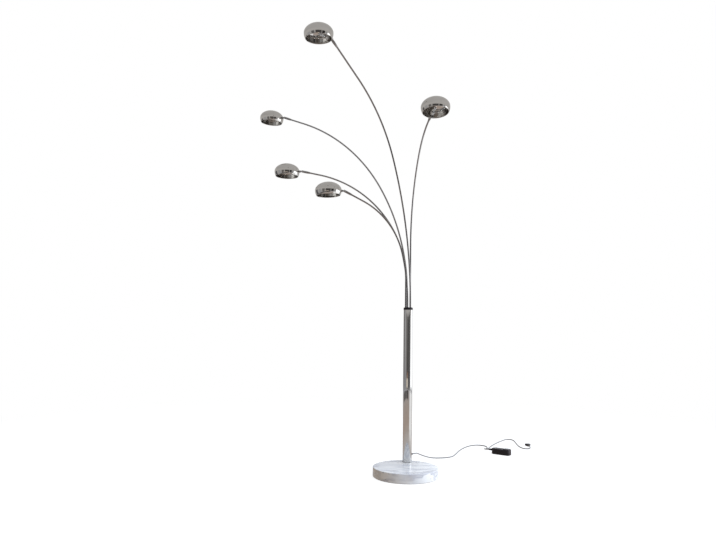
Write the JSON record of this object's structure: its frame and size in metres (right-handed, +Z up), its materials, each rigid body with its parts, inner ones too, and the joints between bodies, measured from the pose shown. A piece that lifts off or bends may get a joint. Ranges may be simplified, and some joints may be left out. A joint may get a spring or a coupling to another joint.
{
  "type": "tree floor lamp",
  "caption": "Floor lamp with bowed chromed arms fanning out of a short pole on a round marble base, each with a small tilting bun-shaped shade; lead with in-line foot switch and plug",
  "frame": {"origin": "centre of the felt's underside, under the middle of the marble base, on the floor", "axes": "+Z up, +X to the right and +Y to the back as the lamp is seen from its front; the pole stands behind the centre"},
  "size_m": [1.6232, 1.5269, 2.0182],
  "materials": {
    "marble": "polished white marble with soft grey veins",
    "felt": "dark felt",
    "chrome_tube": "polished chrome",
    "chrome_arm": "polished chrome",
    "chrome_shade": "polished chrome outside, satin inside",
    "steel": "zinc-plated steel",
    "black_plastic": "fine-grained black plastic",
    "pedal_plastic": "glossy black plastic",
    "black_rubber": "matt black rubber",
    "grey_cord": "smooth grey plastic sheath",
    "ceramic": "unglazed white ceramic",
    "bulb_glass": "frosted glass",
    "brass": "plain brass"
  },
  "bodies": {
    "stand": {"marble_base": "marble", "base_felt": "felt", "pole_tube": "chrome_tube", "pole_foot_gasket": "black_rubber", "pole_foot_plug": "steel", "base_bolt": "steel", "base_washer": "steel", "top_collar": "black_plastic", "arm_bushes": "black_plastic", "arm_guide": "black_plastic", "guide_rod": "steel", "guide_nut": "steel", "cable_grommet": "grey_cord", "cord_to_switch": "grey_cord", "cord_to_plug": "grey_cord", "switch_tray": "black_plastic", "switch_cover": "black_plastic", "plug_body": "black_plastic", "plug_pins": "brass"},
    "arm_1": {"arm_1_tube": "chrome_arm", "arm_1_sleeve": "chrome_arm", "arm_1_fork": "chrome_arm", "arm_1_pin": "steel"},
    "shade_1": {"shade_1_eye": "chrome_arm", "shade_1_dome": "chrome_shade", "shade_1_holder": "ceramic", "shade_1_bulb": "bulb_glass"},
    "arm_2": {"arm_2_tube": "chrome_arm", "arm_2_sleeve": "chrome_arm", "arm_2_fork": "chrome_arm", "arm_2_pin": "steel"},
    "shade_2": {"shade_2_eye": "chrome_arm", "shade_2_dome": "chrome_shade", "shade_2_holder": "ceramic", "shade_2_bulb": "bulb_glass"},
    "arm_3": {"arm_3_tube": "chrome_arm", "arm_3_sleeve": "chrome_arm", "arm_3_fork": "chrome_arm", "arm_3_pin": "steel"},
    "shade_3": {"shade_3_eye": "chrome_arm", "shade_3_dome": "chrome_shade", "shade_3_holder": "ceramic", "shade_3_bulb": "bulb_glass"},
    "arm_4": {"arm_4_tube": "chrome_arm", "arm_4_sleeve": "chrome_arm", "arm_4_fork": "chrome_arm", "arm_4_pin": "steel"},
    "shade_4": {"shade_4_eye": "chrome_arm", "shade_4_dome": "chrome_shade", "shade_4_holder": "ceramic", "shade_4_bulb": "bulb_glass"},
    "arm_5": {"arm_5_tube": "chrome_arm", "arm_5_sleeve": "chrome_arm", "arm_5_fork": "chrome_arm", "arm_5_pin": "steel"},
    "shade_5": {"shade_5_eye": "chrome_arm", "shade_5_dome": "chrome_shade", "shade_5_holder": "ceramic", "shade_5_bulb": "bulb_glass"},
    "foot_pedal": {"switch_pedal": "pedal_plastic"}
  },
  "joints": [
    {"name": "arm_1_turn", "type": "hinge", "parent": "stand", "child": "arm_1", "pos_m": [0.02702, 0.10836, 0.79], "axis": [0, 0, 1], "range_deg": [-2, 30]},
    {"name": "shade_1_tilt", "type": "hinge", "parent": "arm_1", "child": "shade_1", "pos_m": [-0.3713, -0.34663, 1.97907], "axis": [-0.7524, 0.6587, 0], "range_deg": [-58, 47]},
    {"name": "arm_2_turn", "type": "hinge", "parent": "stand", "child": "arm_2", "pos_m": [0.02702, 0.12364, 0.79], "axis": [0, 0, 1], "range_deg": [-30, 45]},
    {"name": "shade_2_tilt", "type": "hinge", "parent": "arm_2", "child": "shade_2", "pos_m": [0.08217, -0.26881, 1.66057], "axis": [-0.9903, -0.1392, 0], "range_deg": [-69, 36]},
    {"name": "arm_3_turn", "type": "hinge", "parent": "stand", "child": "arm_3", "pos_m": [0.01248, 0.12836, 0.79], "axis": [0, 0, 1], "range_deg": [-30, 15]},
    {"name": "shade_3_tilt", "type": "hinge", "parent": "arm_3", "child": "shade_3", "pos_m": [-0.65936, 0.38491, 1.85878], "axis": [0.3567, 0.9342, 0], "range_deg": [-63.5, 41.5]},
    {"name": "arm_4_turn", "type": "hinge", "parent": "stand", "child": "arm_4", "pos_m": [0.0035, 0.116, 0.79], "axis": [0, 0, 1], "range_deg": [-15, 30]},
    {"name": "shade_4_tilt", "type": "hinge", "parent": "arm_4", "child": "shade_4", "pos_m": [-0.53552, 0.18027, 1.50498], "axis": [0.1184, 0.993, 0], "range_deg": [-60, 45]},
    {"name": "arm_5_turn", "type": "hinge", "parent": "stand", "child": "arm_5", "pos_m": [0.01248, 0.10364, 0.79], "axis": [0, 0, 1], "range_deg": [-20, 25]},
    {"name": "shade_5_tilt", "type": "hinge", "parent": "arm_5", "child": "shade_5", "pos_m": [-0.31079, -0.0014, 1.36628], "axis": [-0.309, 0.9511, 0], "range_deg": [-57, 48]},
    {"name": "pedal_press", "type": "slide", "parent": "stand", "child": "foot_pedal", "axis": [0, 0, -1], "range_m": [0, 0.003], "stiffness_N_per_m": 1500, "springref_m": -0.002}
  ]
}
